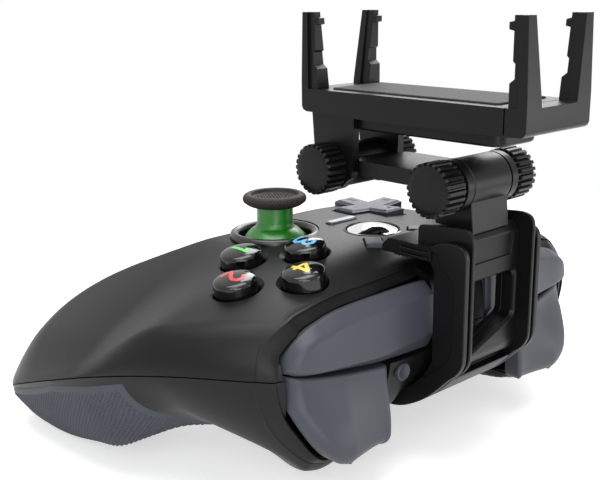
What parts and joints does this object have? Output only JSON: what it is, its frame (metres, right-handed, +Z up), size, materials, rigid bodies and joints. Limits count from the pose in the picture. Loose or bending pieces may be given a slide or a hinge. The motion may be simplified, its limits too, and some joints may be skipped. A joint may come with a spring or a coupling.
{
  "type": "mobile game controller",
  "caption": "Two-handled game pad with sticks, cross pad, buttons and triggers, and a folding sprung phone holder clipped over its front edge",
  "frame": {"origin": "on the surface the pad lies on, at the middle of the part's box in plan", "axes": "+X to the player's right, +Y away from the player towards the clip, +Z up through the phone holder"},
  "size_m": [0.1608, 0.1272, 0.1104],
  "materials": {
    "shell": "satin black moulded shell",
    "grip": "fine textured grip",
    "slate": "satin slate",
    "gloss": "gloss black",
    "stick_green": "satin green",
    "stick_rubber": "matt rubber",
    "chrome": "polished",
    "silver": "satin",
    "steel": "plain",
    "board": "solder mask",
    "cell": "wrapped cell",
    "silicone": "silicone",
    "inner_plastic": "plain",
    "clip": "satin black",
    "pad_rubber": "matt"
  },
  "bodies": {
    "pad": {"top_shell": "shell", "bottom_shell": "shell", "right_grip_panel": "grip", "left_grip_panel": "grip", "right_trigger_bracket": "inner_plastic", "left_trigger_bracket": "inner_plastic", "trigger_pins": "steel", "trigger_springs": "steel", "bumper_pins": "steel", "right_stick_ring": "gloss", "left_stick_ring": "gloss", "right_stick_housing": "inner_plastic", "left_stick_housing": "inner_plastic", "button_sheet": "silicone", "dpad_post": "inner_plastic", "tact_switches": "inner_plastic", "main_board": "board", "battery_pack": "cell", "usb_socket": "silver", "case_screws": "steel"},
    "clip": {"clip_frame": "clip", "clip_panel": "clip", "clip_screws": "steel", "clip_pads": "pad_rubber", "lower_bolt": "steel"},
    "arm": {"arm_link": "clip", "upper_bolt": "steel"},
    "holder": {"phone_tray": "clip", "tray_pad": "pad_rubber", "jaw_spring": "steel"},
    "jaw": {"sliding_jaw": "clip"},
    "right_bumper": {"right_bumper": "slate"},
    "right_trigger": {"right_trigger": "slate"},
    "left_bumper": {"left_bumper": "slate"},
    "left_trigger": {"left_trigger": "slate"},
    "right_yoke": {"right_stick_yoke": "inner_plastic"},
    "right_rocker": {"right_stick_rocker": "inner_plastic"},
    "right_stick": {"right_stick_stem": "stick_green", "right_stick_cap": "stick_rubber"},
    "left_yoke": {"left_stick_yoke": "inner_plastic"},
    "left_rocker": {"left_stick_rocker": "inner_plastic"},
    "left_stick": {"left_stick_stem": "stick_green", "left_stick_cap": "stick_rubber"},
    "dpad_rocker": {"dpad_rocker": "inner_plastic"},
    "dpad": {"dpad": "slate"},
    "face_button_1": {"face_button_1": "gloss"},
    "face_button_2": {"face_button_2": "gloss"},
    "face_button_3": {"face_button_3": "gloss"},
    "face_button_4": {"face_button_4": "gloss"},
    "home_button": {"home_button": "chrome"},
    "share_button": {"share_button": "silver"},
    "menu_button": {"menu_button": "slate"},
    "view_button": {"view_button": "slate"},
    "pair_button": {"pair_button": "slate"},
    "lower_knob_right": {"lower_knob_right": "clip"},
    "lower_knob_left": {"lower_knob_left": "clip"},
    "upper_knob_right": {"upper_knob_right": "clip"},
    "upper_knob_left": {"upper_knob_left": "clip"}
  },
  "joints": [
    {"name": "right_bumper_press", "type": "hinge", "parent": "pad", "child": "right_bumper", "pos_m": [0.014, 0.03, 0.04], "axis": [0, 0, -1], "range_deg": [0, 3], "stiffness_Nm_per_rad": 0.2, "springref_deg": -2.86},
    {"name": "right_trigger_pull", "type": "hinge", "parent": "pad", "child": "right_trigger", "pos_m": [0.035, 0.0255, 0.026], "axis": [-1, 0, 0], "range_deg": [0, 15], "stiffness_Nm_per_rad": 0.1, "springref_deg": -17.19},
    {"name": "left_bumper_press", "type": "hinge", "parent": "pad", "child": "left_bumper", "pos_m": [-0.014, 0.03, 0.04], "axis": [0, 0, 1], "range_deg": [0, 3], "stiffness_Nm_per_rad": 0.2, "springref_deg": -2.86},
    {"name": "left_trigger_pull", "type": "hinge", "parent": "pad", "child": "left_trigger", "pos_m": [-0.035, 0.0255, 0.026], "axis": [-1, 0, 0], "range_deg": [0, 15], "stiffness_Nm_per_rad": 0.1, "springref_deg": -17.19},
    {"name": "right_stick_side", "type": "hinge", "parent": "pad", "child": "right_yoke", "pos_m": [0.0185, -0.0112, 0.045], "axis": [0, 1, 0], "range_deg": [-18, 18], "stiffness_Nm_per_rad": 0.03},
    {"name": "right_stick_fore", "type": "hinge", "parent": "right_yoke", "child": "right_rocker", "pos_m": [0.0185, -0.0112, 0.045], "axis": [1, 0, 0], "range_deg": [-18, 18], "stiffness_Nm_per_rad": 0.03},
    {"name": "right_stick_click", "type": "slide", "parent": "right_rocker", "child": "right_stick", "axis": [0, 0, -1], "range_m": [0, 0.0005], "stiffness_N_per_m": 2000, "springref_m": -0.0005},
    {"name": "left_stick_side", "type": "hinge", "parent": "pad", "child": "left_yoke", "pos_m": [-0.0372, 0.009, 0.0434], "axis": [0, 1, 0], "range_deg": [-18, 18], "stiffness_Nm_per_rad": 0.03},
    {"name": "left_stick_fore", "type": "hinge", "parent": "left_yoke", "child": "left_rocker", "pos_m": [-0.0372, 0.009, 0.0434], "axis": [1, 0, 0], "range_deg": [-18, 18], "stiffness_Nm_per_rad": 0.03},
    {"name": "left_stick_click", "type": "slide", "parent": "left_rocker", "child": "left_stick", "axis": [0, 0, -1], "range_m": [0, 0.0005], "stiffness_N_per_m": 2000, "springref_m": -0.0005},
    {"name": "dpad_fore", "type": "hinge", "parent": "pad", "child": "dpad_rocker", "pos_m": [-0.0185, -0.0112, 0.048], "axis": [1, 0, 0], "range_deg": [-6, 6], "stiffness_Nm_per_rad": 0.05},
    {"name": "dpad_side", "type": "hinge", "parent": "dpad_rocker", "child": "dpad", "pos_m": [-0.0185, -0.0112, 0.048], "axis": [0, 1, 0], "range_deg": [-6, 6], "stiffness_Nm_per_rad": 0.05},
    {"name": "face_button_1_press", "type": "slide", "parent": "pad", "child": "face_button_1", "axis": [-0.1822, 0, -0.9833], "range_m": [0, 0.0014], "stiffness_N_per_m": 700, "springref_m": -0.0008},
    {"name": "face_button_2_press", "type": "slide", "parent": "pad", "child": "face_button_2", "axis": [-0.1822, 0, -0.9833], "range_m": [0, 0.0014], "stiffness_N_per_m": 700, "springref_m": -0.0008},
    {"name": "face_button_3_press", "type": "slide", "parent": "pad", "child": "face_button_3", "axis": [-0.1822, 0, -0.9833], "range_m": [0, 0.0014], "stiffness_N_per_m": 700, "springref_m": -0.0008},
    {"name": "face_button_4_press", "type": "slide", "parent": "pad", "child": "face_button_4", "axis": [-0.1822, 0, -0.9833], "range_m": [0, 0.0014], "stiffness_N_per_m": 700, "springref_m": -0.0008},
    {"name": "home_button_press", "type": "slide", "parent": "pad", "child": "home_button", "axis": [0, 0, -1], "range_m": [0, 0.001], "stiffness_N_per_m": 700, "springref_m": -0.0008},
    {"name": "share_button_press", "type": "slide", "parent": "pad", "child": "share_button", "axis": [0, 0, -1], "range_m": [0, 0.001], "stiffness_N_per_m": 700, "springref_m": -0.0008},
    {"name": "menu_button_press", "type": "slide", "parent": "pad", "child": "menu_button", "axis": [0, 0, -1], "range_m": [0, 0.001], "stiffness_N_per_m": 700, "springref_m": -0.0008},
    {"name": "view_button_press", "type": "slide", "parent": "pad", "child": "view_button", "axis": [0, 0, -1], "range_m": [0, 0.001], "stiffness_N_per_m": 700, "springref_m": -0.0008},
    {"name": "pair_button_press", "type": "slide", "parent": "pad", "child": "pair_button", "axis": [0, -1, 0], "range_m": [0, 0.0006], "stiffness_N_per_m": 700, "springref_m": -0.0008},
    {"name": "clip_slide", "type": "slide", "parent": "pad", "child": "clip", "axis": [0, 1, 0], "range_m": [0, 0.03]},
    {"name": "arm_tilt", "type": "hinge", "parent": "clip", "child": "arm", "pos_m": [0, 0.0408, 0.0709], "axis": [-1, 0, 0], "range_deg": [0, 80]},
    {"name": "holder_tilt", "type": "hinge", "parent": "arm", "child": "holder", "pos_m": [0, 0.0022, 0.0709], "axis": [1, 0, 0], "range_deg": [-5, 60]},
    {"name": "jaw_slide", "type": "slide", "parent": "holder", "child": "jaw", "axis": [0, 1, 0], "range_m": [0, 0.022], "stiffness_N_per_m": 150, "springref_m": -0.01},
    {"name": "lower_knob_right_turn", "type": "hinge", "parent": "clip", "child": "lower_knob_right", "pos_m": [0.0145, 0.0408, 0.0709], "axis": [1, 0, 0], "continuous": true},
    {"name": "lower_knob_left_turn", "type": "hinge", "parent": "clip", "child": "lower_knob_left", "pos_m": [-0.0145, 0.0408, 0.0709], "axis": [-1, 0, 0], "continuous": true},
    {"name": "upper_knob_right_turn", "type": "hinge", "parent": "arm", "child": "upper_knob_right", "pos_m": [0.0145, 0.0022, 0.0709], "axis": [1, 0, 0], "continuous": true},
    {"name": "upper_knob_left_turn", "type": "hinge", "parent": "arm", "child": "upper_knob_left", "pos_m": [-0.0145, 0.0022, 0.0709], "axis": [-1, 0, 0], "continuous": true}
  ]
}
